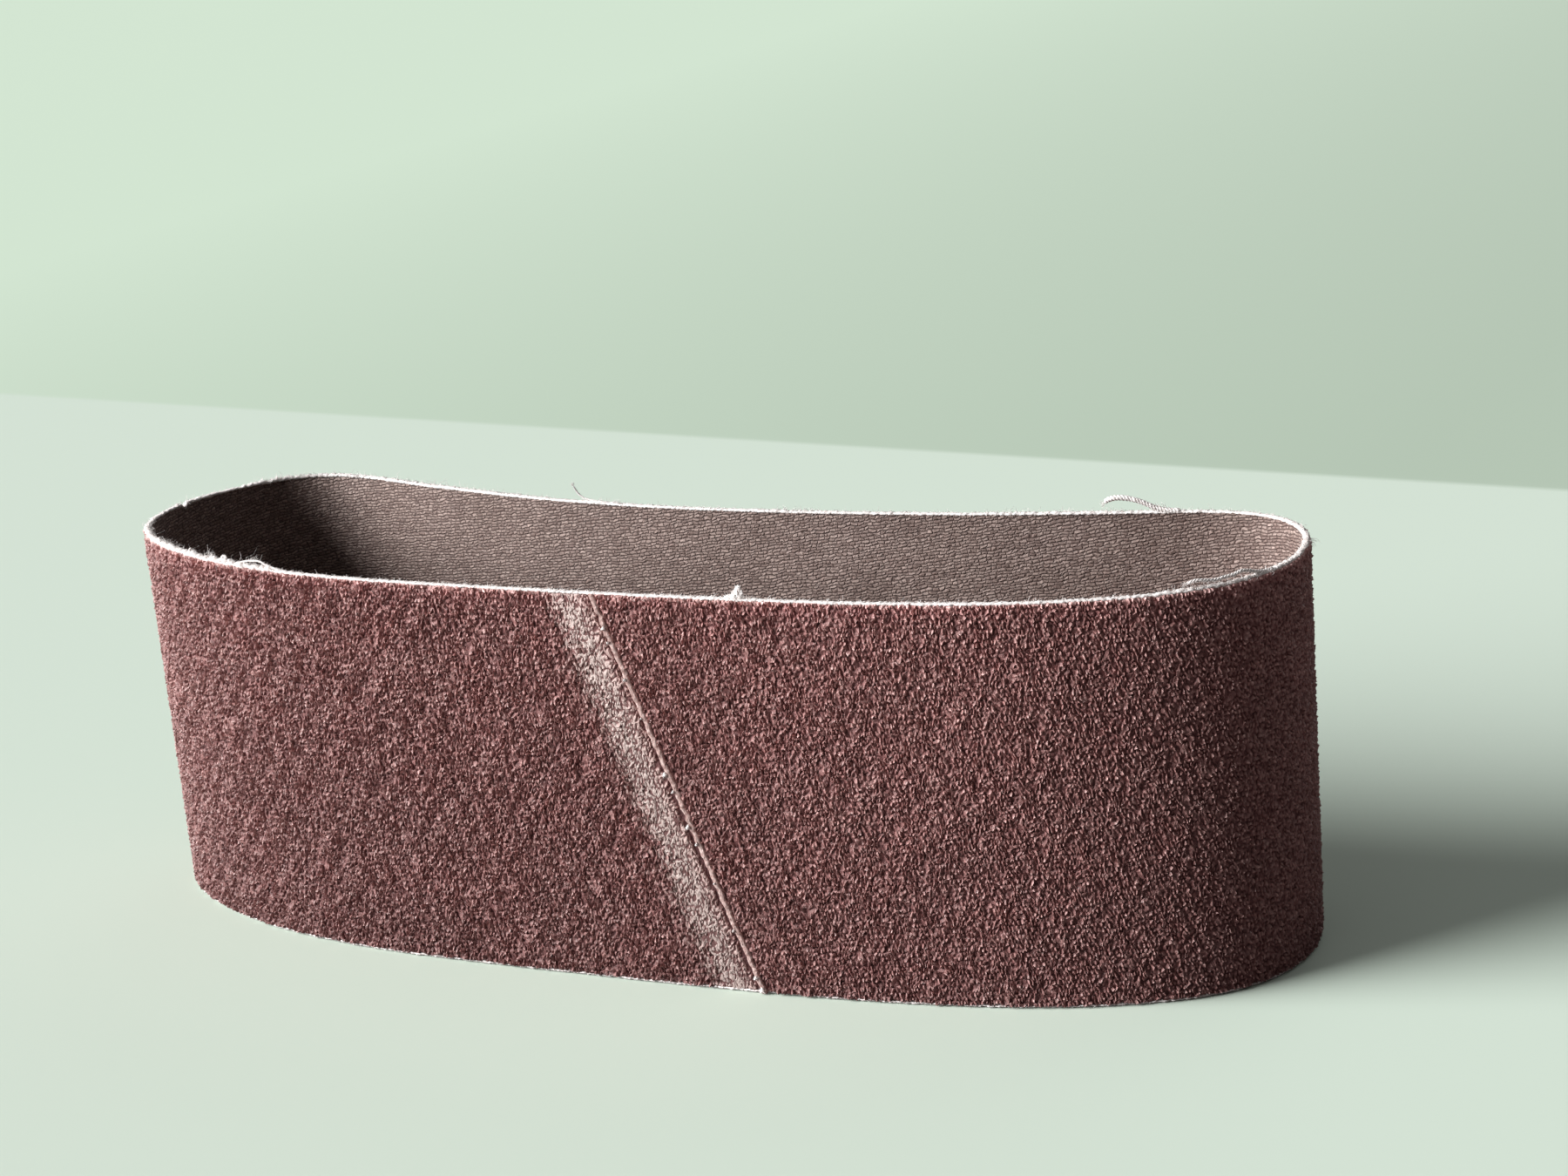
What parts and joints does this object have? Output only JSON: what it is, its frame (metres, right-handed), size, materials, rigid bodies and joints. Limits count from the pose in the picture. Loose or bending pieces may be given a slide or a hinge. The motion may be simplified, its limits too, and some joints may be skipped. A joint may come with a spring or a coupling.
{
  "type": "sanding belt",
  "caption": "Endless cloth sanding belt with coarse grit outside, lap spliced on the slant, standing on edge as a long loop.",
  "frame": {"origin": "middle of the loop's footprint, on the surface that the belt's lower edge rests on", "axes": "+X along the long side of the loop, -Y out of the wall that has the lap splice, +Z across the belt's width"},
  "size_m": [0.2352, 0.0674, 0.075],
  "materials": {
    "abrasive_cloth": "rough"
  },
  "bodies": {
    "root": {"sanding_belt": "abrasive_cloth"}
  },
  "joints": []
}
